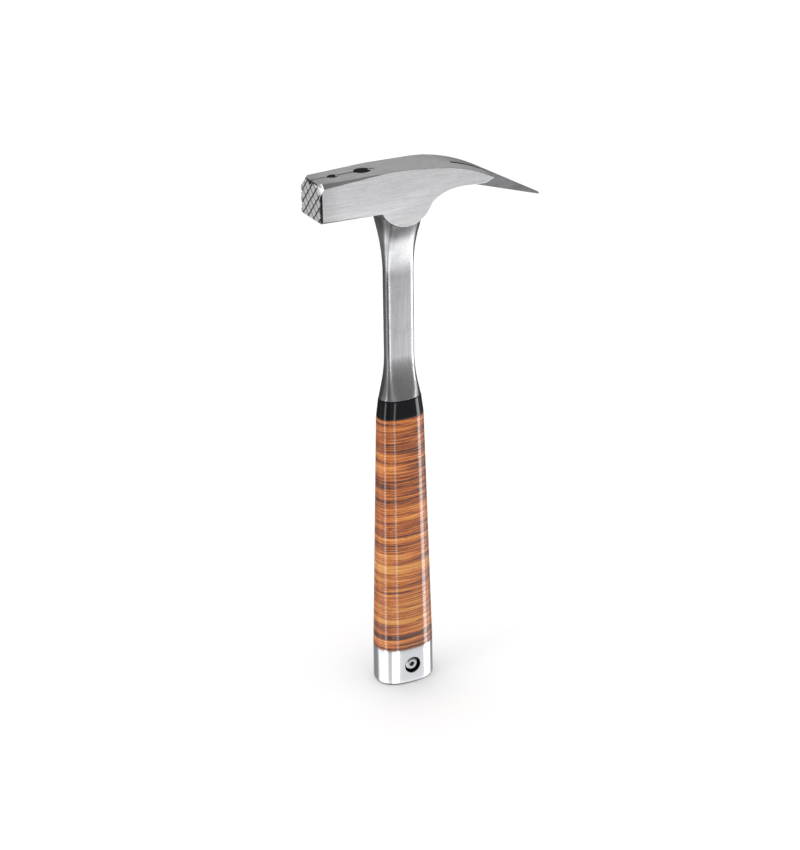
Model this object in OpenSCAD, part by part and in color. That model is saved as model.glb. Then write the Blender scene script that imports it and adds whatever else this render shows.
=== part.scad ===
// Roofer's pick hammer: one steel forging with a square checkered poll, a spike and a short
// claw prong, a grip of stacked leather washers on the tang, a black collar and an
// aluminium butt cap held by a cross screw and its sleeve nut.
// Frame: origin at the centre of the butt face, +Z up the handle, -X towards the striking
// face, +X towards the spike tip. The claw prong is on the -Y side.

/* [Overall] */
// Height from the butt face to the top of the head
total_h = 320; // [290:1:350]
// Thickness of the head across its cheeks
head_t = 24; // [20:0.5:28]
// Distance from the handle axis to the striking face
poll_reach = 52; // [44:1:62]
// Distance from the handle axis to the spike tip
spike_reach = 89.5; // [80:0.5:105]

/* [Head] */
// Height of the square poll from its underside to the top of the head
poll_h = 22.7; // [19:0.1:26]
// Leg of the poll's corner chamfers at the striking face
poll_chamfer = 3.6; // [1:0.1:5]
// Length over which the corner chamfers run out
poll_chamfer_l = 40; // [25:1:48]
// Leg of the chamfers along the poll's lower corners
poll_low_chamfer = 1.2; // [0.4:0.1:3]
// Fall of the top face from the middle of the poll to the striking face
poll_droop = 1.2; // [0:0.1:2]
// Bevel round the striking face
face_bevel = 1; // [0.4:0.1:1.6]
// Bevel across the ends of the poll's upper corner chamfers
corner_bevel = 1.9; // [0.6:0.1:2.5]
// Spacing of the checker grooves on the striking face
check_pitch = 4.6; // [3:0.1:6]
// Depth of the checker grooves
check_depth = 0.8; // [0.3:0.1:1.2]
// Radius of the round cheek lobe above the neck
lobe_r = 16.3; // [14:0.1:18]
// Height of the lobe centre below the top of the head
lobe_drop = 15.6; // [13:0.1:18]

/* [Nail holder] */
// Width of the nail groove at the top face
groove_w = 3.2; // [2:0.1:4]
// Depth of the nail groove
groove_depth = 1.8; // [1:0.1:3]
// Chamfer along the nail groove's rims
groove_rim = 0.6; // [0.2:0.1:0.8]
// Diameter of the magnet
magnet_d = 6; // [4:0.1:8]
// Length of the magnet
magnet_l = 5; // [3:0.1:8]
// Distance from the striking face to the magnet axis
magnet_back = 13.5; // [9:0.1:16]
// Diameter of the pocket for the nail's head
pocket_d = 9.4; // [7:0.1:11]
// Depth of the pocket
pocket_depth = 5; // [4.5:0.1:8]
// Distance from the striking face to the pocket axis
pocket_back = 31; // [26:0.1:36]

/* [Claw] */
// Distance from the handle axis to the closed end of the claw slot
slot_start = 31; // [26:0.5:36]
// Distance from the handle axis to the point of the claw prong
prong_reach = 55; // [50:0.5:64]
// Distance of the prong's point below the top of the head
prong_drop = 12; // [9:0.5:14]
// Distance of the claw slot's middle from the head's middle plane
slot_offset = 3.8; // [2:0.1:5]
// Width of the claw slot at its open end
slot_w = 3; // [1.5:0.1:4]
// Width of the claw slot at its closed end
slot_end_w = 2.2; // [0.6:0.1:3]
// Width of the spike tip
tip_w = 2; // [1:0.1:4]
// Height of the spike tip
tip_h = 1.1; // [1:0.1:4]
// Height of the spike tip's top below the top of the head
tip_drop = 29; // [22:0.5:34]

/* [Shank] */
// Half width of the shank at its slimmest
shank_a = 8.8; // [7.5:0.1:11]
// Half thickness of the shank
shank_b = 3.6; // [3:0.05:5]
// Height of the neck's flare below the lobe
neck_h = 30; // [20:1:36]
// Half thickness of the neck where it enters the head
neck_b = 11.2; // [7:0.1:11.6]
// Radius of the hollow between the shank's flats and the neck
neck_r = 60; // [40:1:90]
// Radius of the hollow between the shank's edges and the neck
neck_side_r = 160; // [100:5:240]
// Length of the flare above the collar
flare_l = 26; // [16:1:36]
// Width of the tang that runs through the grip
tang_w = 14; // [12:0.5:15]
// Thickness of the tang
tang_t = 5; // [4:0.1:6]

/* [Grip] */
// Height of the butt cap
cap_h = 23.8; // [20:0.1:27]
// Half width of the butt cap
cap_a = 18.3; // [16:0.1:22]
// Half thickness of the butt cap
cap_b = 13; // [11.5:0.1:15]
// Rounding at the foot of the butt cap
cap_edge = 1.6; // [0.5:0.1:3]
// Number of leather washers in the stack
washer_n = 42; // [30:1:50]
// Thickness of one leather washer
washer_t = 3.536; // [3:0.001:4]
// Height of the collar
collar_h = 11.4; // [8:0.1:15]
// Half width of the collar at its foot
collar_a = 14.3; // [13.2:0.1:16]
// Half thickness of the collar at its foot
collar_b = 9.2; // [8.4:0.1:11]
// Half width of the collar at its top
collar_top_a = 12.9; // [11.5:0.1:14]
// Half thickness of the collar at its top
collar_top_b = 8.4; // [7.6:0.1:9.6]

/* [Cross screw] */
// Height of the cross screw above the butt face
screw_z = 12.3; // [10:0.1:14]
// Diameter of the screw heads
screw_head_d = 9.5; // [8:0.1:10.5]
// Height of the screw heads
screw_head_h = 2.75; // [2:0.05:3.5]
// Depth of the counterbores in the cap's flats
counterbore_depth = 4.2; // [3.6:0.1:5.5]
// Thread diameter of the screw
screw_d = 5; // [4:0.1:5.5]
// Outside diameter of the sleeve nut
sleeve_d = 7; // [6.4:0.1:8]
// Hexagon key size across the flats
hex_key = 3; // [2.5:0.5:4]
// Depth of the hexagon sockets
hex_depth = 1.7; // [1:0.1:2]

/* [Fits] */
// Clearance round each screw head in its counterbore
head_clear = 0.35; // [0.1:0.05:0.5]
// Clearance round the tang in the washers, collar and cap
tang_clear = 0.2; // [0.05:0.05:0.4]
// Clearance between screw, sleeve nut and their holes
screw_clear = 0.05; // [0.02:0.01:0.1]

/* [Hidden] */
SPARE = 1;
BIG = 200;
ring_n = 48;
lobe_z = total_h - lobe_drop;
poll_z = total_h - poll_h;
leather_z = cap_h;
collar_z = leather_z + washer_n * washer_t;
shank_z = collar_z + collar_h;
pocket_x = pocket_back - poll_reach;
magnet_x = magnet_back - poll_reach;
// Length of the pointed tail of the pocket for the nail's head, and its width as a share of
// the pocket's
pocket_tail = 3.2;
pocket_tail_share = 0.6;
tip_z = total_h - tip_drop;
// Length over which the top face falls towards the striking face
droop_l = 36;
// Top of the spike: an arc that leaves the flat top, then a straight run to the tip
top_arc_x = 12;
top_arc_end = 55;
top_slope = 0.52;
top_run = spike_reach - top_arc_end;
top_arc_drop = tip_drop - top_slope * top_run;
top_arc_r = (pow(top_arc_end - top_arc_x, 2) + pow(top_arc_drop, 2)) / (2 * top_arc_drop);
top_arc_turn = asin((top_arc_end - top_arc_x) / top_arc_r);
// Underside of the spike: a hollow from the lobe to a crest, a short arc, a straight run
crest_x = 34;
crest_z = total_h - 14.3;
hollow_r = 30.5;
hollow_angle = 55;
under_end = 37;
under_slope = (crest_z - (tip_z - tip_h)) / (spike_reach - (crest_x + under_end) / 2);
under_r = (under_end - crest_x) / sin(atan(under_slope));
// Spike outline from above: both sides draw in towards the tip
taper_x = 22;
taper_power = 1.6;
spike_wall_y = -slot_offset + slot_w / 2;
prong_root_y = -slot_offset - slot_w / 2;
tip_y = -0.5;
// Rise for each unit of run on the two faces that meet in the prong's point
prong_top_slope = 0.9;
prong_low_slope = 0.47;
// Length of the prong's lower end face; behind it a flat belly runs back to the crest
prong_heel = 5.7;
// Fall for each unit across of the claw's top, from the slot to the near cheek, and the step
// of the top arc where it begins
crown_fall = 0.17;
crown_first = 3;
lobe_low_z = lobe_z - lobe_r;
neck_z = lobe_low_z - neck_h;
// Most that the neck spreads past the shank's edges
neck_spread = 4.3;
// Step from the shank's foot out to the collar's top
shank_step = 0.2;
// Squareness of the sections, from 2 for an ellipse up
shank_square = 4.2;
neck_square = 3.2;
collar_square = 2.2;
grip_square = 2.3;
foot_square = 2.4;
// The tang's end, and the gap below it in the cap's pocket
tang_z = 4;
tang_end_gap = 0.5;
cap_pocket_z = tang_z - tang_end_gap;
screw_seat_y = cap_b - counterbore_depth;
// Gap from the sleeve nut's end to the near seat, and from the screw's end to the far seat
sleeve_gap = 0.6;
screw_gap = 1;
sleeve_end_y = sleeve_gap - screw_seat_y;
screw_end_y = screw_seat_y - screw_gap;
// Thread depth left beyond the screw's end in the sleeve nut
thread_spare = 0.2;
// Socket head: its rim as a share of its height, and its flat crown as a share of its width
head_rim_share = 0.3;
head_crown_share = 0.56;
// Rise for each unit of run on the bevel across the chamfers' ends
corner_lean = 0.7;
// Steps along the curves of the head, the shank's length and the small roundings
head_steps = 14;
hollow_steps = 12;
crest_steps = 4;
plan_steps = 12;
shank_steps = 36;
edge_steps = 4;
crown_steps = 6;

WASHERS = [for (i = [1:washer_n]) str("leather_washer_", i < 10 ? "0" : "", i)];

// Value between a and b, t from 0 to 1
function mix(a, b, t) = a + (b - a) * t;
// Smooth step from 0 to 1
function ease(t) = let (u = min(max(t, 0), 1)) u * u * (3 - 2 * u);
// Superellipse ring of half width a, half thickness b and squareness n at height z
function oval(a, b, n, z) = [for (i = [0:ring_n - 1])
    let (t = 360 * i / ring_n, c = cos(t), s = sin(t))
    [a * sign(c) * pow(abs(c), 2 / n), b * sign(s) * pow(abs(s), 2 / n), z]];
function flat_ring(ring) = [for (p = ring) [p.x, p.y]];

// Closed solid through a list of rings with equal point counts, from the lowest up
module loft(rings) {
    m = len(rings[0]);
    k = len(rings);
    points = [for (r = rings) each r];
    sides = [for (j = [0:k - 2], i = [0:m - 1])
        [j * m + i, (j + 1) * m + i, (j + 1) * m + (i + 1) % m, j * m + (i + 1) % m]];
    polyhedron(points, concat([[for (i = [0:m - 1]) i]], sides,
        [[for (i = [m - 1:-1:0]) (k - 1) * m + i]]));
}
// Half-space cutter: removes what lies beyond the plane through a point, on its normal's side
module beyond(point, normal) {
    polar = acos(normal.z / norm(normal));
    azimuth = atan2(normal.y, normal.x);
    translate(point) rotate([0, polar, azimuth]) translate([-BIG / 2, -BIG / 2, 0]) cube(BIG);
}
// Prism along Y over a side outline drawn in X and Z
module across(low_y, high_y) {
    translate([0, high_y, 0]) rotate([90, 0, 0]) linear_extrude(high_y - low_y) children();
}
// Hexagonal prism from the origin along +Z
module hexagon(across_flats, depth) {
    cylinder(h = depth, r = across_flats / 2 / cos(30), $fn = 6);
}

// Points of a circle from angle a0 to a1, in n steps, both ends included
function arc(center, r, a0, a1, n) = [for (i = [0:n])
    center + r * [cos(mix(a0, a1, i / n)), sin(mix(a0, a1, i / n))]];

// The same without its first point, where the arc before it ends
function arc_after(center, r, a0, a1, n) = arc(center, r, mix(a0, a1, 1 / n), a1, n - 1);

// Side outline of the head, spike included and lobe left out
module head_outline() {
    under_top = [crest_x, crest_z];
    polygon(concat(
        [[-poll_reach, poll_z], [-poll_reach, total_h - poll_droop], [droop_l - poll_reach, total_h]],
        arc([top_arc_x, total_h - top_arc_r], top_arc_r, 90, 90 - top_arc_turn, head_steps),
        [[spike_reach, tip_z], [spike_reach, tip_z - tip_h]],
        arc(under_top - [0, under_r], under_r, 90 - atan(under_slope), 90, crest_steps),
        arc_after(under_top - [0, hollow_r], hollow_r, 90, 90 + hollow_angle, hollow_steps),
        [[0, poll_z]]));
}

// Outline of the head from above: full thickness, then the far side draws in to the tip
module plan_outline() {
    far = head_t / 2;
    length = spike_reach - taper_x;
    far_side = [for (i = [0:plan_steps]) let (t = i / plan_steps)
        [taper_x + length * t, mix(far, tip_y + tip_w / 2, pow(t, taper_power))]];
    polygon(concat([[-poll_reach, -far], [-poll_reach, far]], far_side,
        [[spike_reach, tip_y - tip_w / 2], [prong_reach + SPARE, spike_wall_y],
         [prong_reach + SPARE, -far]]));
}

// Nail groove, magnet hole and nail-head pocket in the top of the poll
module nail_holder_cuts() {
    reach = poll_reach + SPARE;
    run = pocket_x + reach;
    half = groove_w / 2;
    translate([-reach, 0, total_h]) rotate([90, 0, 90]) linear_extrude(run)
        polygon([[-half, 0], [-half, SPARE], [half, SPARE], [half, 0],
                 [half - groove_rim, -groove_rim], [half - groove_rim, -groove_depth],
                 [groove_rim - half, -groove_depth], [groove_rim - half, -groove_rim]]);
    translate([magnet_x, 0, total_h - groove_depth - magnet_l])
        cylinder(h = magnet_l + groove_depth + SPARE, d = magnet_d, $fn = 48);
    translate([pocket_x, 0, total_h - pocket_depth])
        cylinder(h = pocket_depth + SPARE, d = pocket_d, $fn = 64);
    tail = pocket_d / 2 + pocket_tail;
    tail_half = pocket_tail_share * pocket_d / 2;
    translate([pocket_x, 0, total_h - pocket_depth / 2]) linear_extrude(pocket_depth)
        polygon([[0, -tail_half], [tail, 0], [0, tail_half]]);
}

// Diagonal V grooves that leave a field of small pyramids on the striking face
module checker_cuts() {
    count = ceil(head_t / check_pitch);
    face_z = (poll_z + total_h) / 2;
    for (turn = [-45, 45], i = [-count:count])
        translate([-poll_reach, 0, face_z]) rotate([turn, 0, 0]) translate([0, i * check_pitch, 0])
            rotate([0, 0, 45]) cube([check_depth * sqrt(2), check_depth * sqrt(2), BIG], center = true);
}

// Corner chamfers along the poll, the bevel round its face and the one across the chamfers' ends
module poll_bevels() {
    half = head_t / 2;
    top = total_h - poll_droop;
    lean = poll_chamfer / poll_chamfer_l;
    low_lean = poll_low_chamfer / poll_chamfer_l;
    for (side = [-1, 1]) {
        beyond([poll_chamfer_l - poll_reach, side * half, total_h], [-lean, side, 1]);
        beyond([poll_chamfer_l - poll_reach, side * half, poll_z], [-low_lean, side, -1]);
        beyond([-poll_reach, side * (half - face_bevel), 0], [-1, side, 0]);
        beyond([corner_bevel - poll_reach, side * (half - poll_chamfer / 2), top - poll_chamfer / 2],
               [-1, side * corner_lean, corner_lean]);
    }
    beyond([-poll_reach, 0, top - face_bevel], [-1, 0, 1]);
    beyond([-poll_reach, 0, poll_z + face_bevel], [-1, 0, -1]);
}

// Crown of the claw's near side: each flat of the top arc falls towards the cheek
module crown_cuts() {
    for (i = [crown_first:head_steps]) {
        turn = top_arc_turn * (i - 0.5) / head_steps;
        flat_r = top_arc_r * cos(top_arc_turn / head_steps / 2);
        beyond([top_arc_x + flat_r * sin(turn), -slot_offset, total_h - top_arc_r + flat_r * cos(turn)],
               [sin(turn), -crown_fall, cos(turn)]);
    }
}

// Claw slot, the space past the prong, and the prong's pointed end
module claw_cuts() {
    half = head_t / 2;
    depth = total_h - lobe_low_z + SPARE;
    past = prong_reach + 2 * SPARE;
    point = [prong_reach, 0, total_h - prong_drop];
    heel = [prong_reach - prong_heel, point.z - prong_heel * prong_low_slope];
    translate([0, 0, lobe_low_z]) linear_extrude(depth)
        polygon([[slot_start, -slot_offset - slot_end_w / 2], [slot_start, -slot_offset + slot_end_w / 2],
                 [prong_reach, spike_wall_y], [past, spike_wall_y],
                 [past, prong_root_y], [prong_reach, prong_root_y]]);
    intersection() {
        translate([taper_x, -half - SPARE, lobe_low_z]) cube([BIG, half + SPARE + spike_wall_y, depth]);
        beyond(point, [prong_top_slope, 0, 1]);
    }
    across(-half - SPARE, spike_wall_y)
        polygon([[crest_x, crest_z], heel, [prong_reach, point.z], [past, point.z],
                 [past, lobe_low_z], [crest_x, lobe_low_z]]);
}

// Head, with everything that is ground or drilled into it
module head() {
    difference() {
        union() {
            difference() {
                intersection() {
                    across(-head_t / 2, head_t / 2) head_outline();
                    translate([0, 0, lobe_low_z]) linear_extrude(BIG) plan_outline();
                }
                poll_bevels();
                crown_cuts();
            }
            across(-head_t / 2, head_t / 2) intersection() {
                translate([0, lobe_z]) circle(lobe_r, $fn = 96);
                translate([-BIG / 2, lobe_z - BIG]) square(BIG);
            }
        }
        nail_holder_cuts();
        checker_cuts();
        claw_cuts();
    }
}

// Growth of a hollow of radius r at height up, until it has grown by limit
function hollow(up, r, limit) =
    let (u = min(max(up, 0), sqrt(pow(r, 2) - pow(r - limit, 2)))) r - sqrt(pow(r, 2) - pow(u, 2));

// Shank from the collar to the head: it flares down to the collar and up to the neck, where
// its section turns from a bar with tight corners into a rounder one
module shank() {
    top = poll_z + SPARE;
    loft([for (i = [0:shank_steps])
        let (z = mix(shank_z, top, i / shank_steps),
             flare = pow(1 - min((z - shank_z) / flare_l, 1), 2),
             a = mix(shank_a, collar_top_a - shank_step, flare)
                 + hollow(z - neck_z, neck_side_r, neck_spread),
             b = mix(shank_b, collar_top_b - shank_step, flare)
                 + hollow(z - neck_z, neck_r, neck_b - shank_b),
             round = ease((z - neck_z) / neck_h))
        oval(a, b, mix(mix(shank_square, collar_square, flare), neck_square, round), z)]);
}

module hammer_forging() {
    color([0.72, 0.73, 0.75]) difference() {
        union() {
            head();
            shank();
            translate([-tang_w / 2, -tang_t / 2, tang_z])
                cube([tang_w, tang_t, shank_z - tang_z + SPARE]);
        }
        translate([0, BIG / 2, screw_z]) rotate([90, 0, 0])
            cylinder(h = BIG, d = sleeve_d + 2 * screw_clear, $fn = 48);
    }
}

module nail_magnet() {
    color([0.55, 0.55, 0.57])
        translate([magnet_x, 0, total_h - groove_depth - magnet_l])
            cylinder(h = magnet_l, d = magnet_d, $fn = 48);
}

// Slot for the tang, through a piece from height low to height high
module tang_slot(low, high) {
    w = tang_w + 2 * tang_clear;
    t = tang_t + 2 * tang_clear;
    translate([-w / 2, -t / 2, low]) cube([w, t, high - low]);
}

module grip_collar() {
    rings = [oval(collar_a, collar_b, grip_square, collar_z),
             oval(collar_top_a, collar_top_b, collar_square, shank_z)];
    color([0.05, 0.05, 0.06]) difference() {
        loft(rings);
        tang_slot(collar_z - SPARE, shank_z + SPARE);
    }
}

// One washer of the stack, its outline taken from the grip's taper at its middle
module leather_washer(i) {
    low = leather_z + (i - 1) * washer_t;
    t = (i - 0.5) / washer_n;
    a = mix(cap_a, collar_a, t);
    b = mix(cap_b, collar_b, t);
    shade = [[0.72, 0.42, 0.18], [0.62, 0.33, 0.13], [0.55, 0.28, 0.11]];
    color(shade[i % 3]) difference() {
        translate([0, 0, low]) linear_extrude(washer_t) polygon(flat_ring(oval(a, b, grip_square, 0)));
        tang_slot(low - SPARE, low + washer_t + SPARE);
    }
}

module butt_cap() {
    e = cap_edge;
    color([0.86, 0.87, 0.89]) difference() {
        loft(concat(
            [for (i = [0:edge_steps]) let (turn = 90 * i / edge_steps, in = e * (1 - sin(turn)))
                oval(cap_a - in, cap_b - in, foot_square, e * (1 - cos(turn)))],
            [oval(cap_a, cap_b, grip_square, cap_h)]));
        tang_slot(cap_pocket_z, cap_h + SPARE);
        translate([0, 0, screw_z]) rotate([90, 0, 0]) {
            translate([0, 0, -BIG / 2]) cylinder(h = BIG, d = sleeve_d + 2 * screw_clear, $fn = 48);
            for (side = [0, 1]) mirror([0, 0, side]) translate([0, 0, screw_seat_y])
                cylinder(h = BIG, d = screw_head_d + 2 * head_clear, $fn = 64);
        }
    }
}

// Domed head with a hexagon socket, its seat at the origin and its crown along +Z
module socket_head() {
    rim_h = screw_head_h * head_rim_share;
    head_r = screw_head_d / 2;
    crown_r = head_r * head_crown_share;
    difference() {
        rotate_extrude($fn = 64) polygon(concat(
            [[0, 0], [head_r, 0], [head_r, rim_h]],
            [for (i = [1:crown_steps]) let (a = 90 * i / crown_steps)
                [crown_r + (head_r - crown_r) * cos(a), rim_h + (screw_head_h - rim_h) * sin(a)]],
            [[0, screw_head_h]]));
        translate([0, 0, screw_head_h - hex_depth]) hexagon(hex_key, hex_depth + SPARE);
    }
}

module cap_screw() {
    color([0.6, 0.61, 0.63]) translate([0, 0, screw_z]) rotate([90, 0, 0]) {
        translate([0, 0, screw_seat_y]) socket_head();
        translate([0, 0, -screw_end_y]) cylinder(h = screw_seat_y + screw_end_y, d = screw_d, $fn = 48);
    }
}

module sleeve_nut() {
    color([0.6, 0.61, 0.63]) translate([0, 0, screw_z]) rotate([-90, 0, 0]) difference() {
        union() {
            translate([0, 0, screw_seat_y]) socket_head();
            translate([0, 0, sleeve_end_y]) cylinder(h = screw_seat_y - sleeve_end_y, d = sleeve_d, $fn = 48);
        }
        translate([0, 0, sleeve_end_y - SPARE])
            cylinder(h = screw_end_y - sleeve_end_y + thread_spare + SPARE,
                     d = screw_d + 2 * screw_clear, $fn = 48);
    }
}

hammer_forging();
nail_magnet();
grip_collar();
butt_cap();
cap_screw();
sleeve_nut();
for (i = [1:washer_n]) leather_washer(i);
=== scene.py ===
"""Pick hammer on a pale studio floor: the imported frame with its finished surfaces."""
import math

import bmesh
import bpy
import numpy as np
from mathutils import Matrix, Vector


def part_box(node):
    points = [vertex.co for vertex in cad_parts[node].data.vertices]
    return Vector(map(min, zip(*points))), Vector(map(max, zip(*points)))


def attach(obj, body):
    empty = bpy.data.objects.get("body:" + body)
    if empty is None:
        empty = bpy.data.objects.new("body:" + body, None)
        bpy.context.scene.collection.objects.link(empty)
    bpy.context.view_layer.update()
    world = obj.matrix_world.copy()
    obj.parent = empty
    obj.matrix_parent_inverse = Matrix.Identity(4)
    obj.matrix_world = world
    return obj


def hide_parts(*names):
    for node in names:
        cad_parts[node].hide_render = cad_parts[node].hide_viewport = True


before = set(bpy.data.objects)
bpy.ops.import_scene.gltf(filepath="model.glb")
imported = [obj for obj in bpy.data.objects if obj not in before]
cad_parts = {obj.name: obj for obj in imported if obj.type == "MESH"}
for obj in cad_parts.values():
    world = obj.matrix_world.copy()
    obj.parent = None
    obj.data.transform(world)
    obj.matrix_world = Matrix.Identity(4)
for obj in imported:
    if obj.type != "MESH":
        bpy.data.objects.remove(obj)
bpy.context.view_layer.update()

# ---------------------------------------------------------------------------------------
# Camera. It stands in front of the striking-face side, a little above the head, and looks
# down at the middle of the handle. It leans by less than a degree, as a hand-set one does.
CAMERA_AZIMUTH = math.radians(-26.94)
CAMERA_ELEVATION = math.radians(24.17)
CAMERA_ROLL = math.radians(0.76)
CAMERA_DISTANCE = 1.1493
CAMERA_AIM = np.array((0.0, 0.0, 0.165))
CAMERA_LENS = 84.74
CAMERA_SENSOR = 36.0
CAMERA_NEAREST = 0.05


def look_from(azimuth, elevation, roll):
    """Camera axes as matrix columns: right, up and back, where back points from the aim to
    the camera and right and up are turned about it by roll."""
    back = np.array((math.sin(azimuth) * math.cos(elevation),
                     -math.cos(azimuth) * math.cos(elevation), math.sin(elevation)))
    level = np.array((math.cos(azimuth), math.sin(azimuth), 0.0))
    rise = np.cross(back, level)
    right = math.cos(roll) * level - math.sin(roll) * rise
    return np.column_stack((right, np.cross(back, right), back))


camera = bpy.data.objects.new("camera", bpy.data.cameras.new("camera"))
bpy.context.scene.collection.objects.link(camera)
axes = look_from(CAMERA_AZIMUTH, CAMERA_ELEVATION, CAMERA_ROLL)
pose = np.eye(4)
pose[:3, :3] = axes
pose[:3, 3] = CAMERA_AIM + CAMERA_DISTANCE * axes[:, 2]
camera.matrix_world = pose.T.tolist()
camera.data.lens = CAMERA_LENS
camera.data.sensor_width = CAMERA_SENSOR
camera.data.clip_start = CAMERA_NEAREST
camera.data.dof.use_dof = False
bpy.context.scene.camera = camera

# ---------------------------------------------------------------------------------------
# Studio. A wide pale floor, one broad lamp overhead for the soft contact shadow, and a room
# painted round the hammer: dim above the horizon, bright below, with three upright strip
# lamps for the handle's reflections and a high panel for the corner of the striking face.
FLOOR_HALF = 30.0
FLOOR_WHITE = 0.87
FLOOR_ROUGHNESS = 0.9
LAMP_POWER = 2.5
LAMP_SPREAD = math.radians(100)
ROOM_POWER = 3.6
STRIP_POWER = 10.0
PANEL_POWER = 3.0
# Each stop is a place and a brightness. Turn goes round the hammer: 0.25 is the striking
# face's side and 0.5 the front. Height is 0 straight below, 0.5 level and 1 overhead.
LOW_WALLS = [
    (0.0, 0.20), (0.06, 0.15), (0.12, 0.22), (0.165, 0.80), (0.34, 0.80), (0.36, 0.45),
    (0.397, 0.45), (0.408, 0.95), (0.469, 0.95), (0.486, 0.72), (0.653, 0.72), (0.669, 1.0),
    (0.753, 1.0), (0.769, 0.25), (0.86, 0.15), (0.93, 0.15), (1.0, 0.20)]
HIGH_WALLS = [
    (0.0, 0.80), (0.06, 0.80), (0.12, 0.40), (0.165, 0.80), (0.34, 0.80), (0.36, 0.45),
    (0.397, 0.45), (0.408, 0.95), (0.469, 0.95), (0.486, 0.60), (0.653, 0.60), (0.669, 0.9),
    (0.753, 0.9), (0.769, 0.30), (0.84, 0.50), (0.87, 0.80), (1.0, 0.80)]
LOW_TO_HIGH = (0.46, 0.54)
HEIGHT_LEVELS = [
    (0.0, 0.10), (0.04, 0.16), (0.07, 0.34), (0.12, 0.85), (0.20, 0.85), (0.25, 0.68),
    (0.297, 0.46), (0.318, 0.38), (0.340, 0.155), (0.42, 0.11), (0.5, 0.10), (0.6, 0.12),
    (0.75, 0.14), (0.92, 0.14), (1.0, 0.23)]
STRIPS = [
    (0.0, 0.0), (0.290, 0.0), (0.297, 0.5), (0.324, 0.5), (0.331, 0.0), (0.458, 0.0),
    (0.464, 0.42), (0.476, 0.42), (0.482, 0.0), (0.656, 0.0), (0.664, 0.7), (0.700, 0.7),
    (0.708, 0.0), (1.0, 0.0)]
STRIP_REACH = [(0.0, 0.0), (0.20, 0.0), (0.25, 1.0), (0.40, 1.0), (0.46, 0.0), (1.0, 0.0)]
PANEL_WIDTH = [(0.0, 0.0), (0.23, 0.0), (0.245, 1.0), (0.29, 1.0), (0.305, 0.0), (1.0, 0.0)]
PANEL_HEIGHT = [(0.0, 0.0), (0.66, 0.0), (0.70, 1.0), (0.80, 1.0), (0.84, 0.0), (1.0, 0.0)]

floor_mesh = bpy.data.meshes.new("floor")
floor_mesh.from_pydata([(-FLOOR_HALF, -FLOOR_HALF, 0), (FLOOR_HALF, -FLOOR_HALF, 0),
                        (FLOOR_HALF, FLOOR_HALF, 0), (-FLOOR_HALF, FLOOR_HALF, 0)], [],
                       [(0, 1, 2, 3)])
floor = bpy.data.objects.new("floor", floor_mesh)
bpy.context.scene.collection.objects.link(floor)
floor_paint = bpy.data.materials.new("floor_paint")
floor_paint.use_nodes = True
floor_shader = floor_paint.node_tree.nodes["Principled BSDF"]
floor_shader.inputs["Base Color"].default_value = (FLOOR_WHITE, FLOOR_WHITE, FLOOR_WHITE, 1)
floor_shader.inputs["Roughness"].default_value = FLOOR_ROUGHNESS
floor_shader.inputs["Specular IOR Level"].default_value = 0.0
floor_mesh.materials.append(floor_paint)
# Steel and lacquer reflect the room through the floor, as they do over a glass table top
floor.visible_glossy = False

lamp = bpy.data.objects.new("overhead_lamp", bpy.data.lights.new("overhead_lamp", "SUN"))
lamp.data.energy = LAMP_POWER
lamp.data.angle = LAMP_SPREAD
lamp.visible_glossy = False
bpy.context.scene.collection.objects.link(lamp)


def add_node(tree, kind, values=(), links=(), **settings):
    """New node of a kind in a tree: settings are set on the node, values on its sockets, and
    each link joins a socket of another node to one of its own."""
    node = tree.nodes.new(kind)
    for name, value in settings.items():
        setattr(node, name, value)
    for socket, value in dict(values).items():
        node.inputs[socket].default_value = value
    for socket, source in dict(links).items():
        tree.links.new(source, node.inputs[socket])
    return node


def add_math(tree, operation, first, second=0.0, third=0.0):
    """Output of a Math node over two or three numbers or sockets."""
    node = tree.nodes.new("ShaderNodeMath")
    node.operation = operation
    for index, value in enumerate((first, second, third)):
        if isinstance(value, bpy.types.NodeSocket):
            tree.links.new(value, node.inputs[index])
        else:
            node.inputs[index].default_value = value
    return node.outputs[0]


def add_ramp(tree, source, stops):
    """Colour ramp over a socket. Each stop is a place from 0 to 1 and a grey or a colour."""
    node = tree.nodes.new("ShaderNodeValToRGB")
    elements = node.color_ramp.elements
    while len(elements) < len(stops):
        elements.new(1.0)
    for element, (place, level) in zip(elements, stops):
        element.position = place
        colour = (level, level, level) if isinstance(level, (int, float)) else level
        element.color = (*colour, 1.0)
    tree.links.new(source, node.inputs[0])
    return node.outputs[0]


def rise_between(tree, source, start, full):
    """Smooth step of a socket: 0 at start and before it, 1 at full and past it. Full may be
    the larger or the smaller of the two."""
    node = tree.nodes.new("ShaderNodeMapRange")
    node.interpolation_type = "SMOOTHSTEP"
    tree.links.new(source, node.inputs["Value"])
    node.inputs["From Min"].default_value = start
    node.inputs["From Max"].default_value = full
    return node.outputs["Result"]


room = bpy.data.worlds.new("studio_room")
room.use_nodes = True
tree = room.node_tree
tree.nodes.clear()
direction = add_node(tree, "ShaderNodeSeparateXYZ",
                     links={0: tree.nodes.new("ShaderNodeTexCoord").outputs["Generated"]}).outputs
front = add_math(tree, "MULTIPLY", direction["Y"], -1.0)
turn = add_math(tree, "MULTIPLY_ADD", add_math(tree, "ARCTAN2", direction["X"], front),
                1 / (2 * math.pi), 0.5)
height = add_math(tree, "MULTIPLY_ADD", direction["Z"], 0.5, 0.5)
walls = add_node(tree, "ShaderNodeMix", data_type="FLOAT",
                 links={0: rise_between(tree, height, *LOW_TO_HIGH),
                        2: add_ramp(tree, turn, LOW_WALLS),
                        3: add_ramp(tree, turn, HIGH_WALLS)}).outputs[0]
glow = add_math(tree, "MULTIPLY",
                add_math(tree, "MULTIPLY", walls, add_ramp(tree, height, HEIGHT_LEVELS)), ROOM_POWER)
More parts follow.
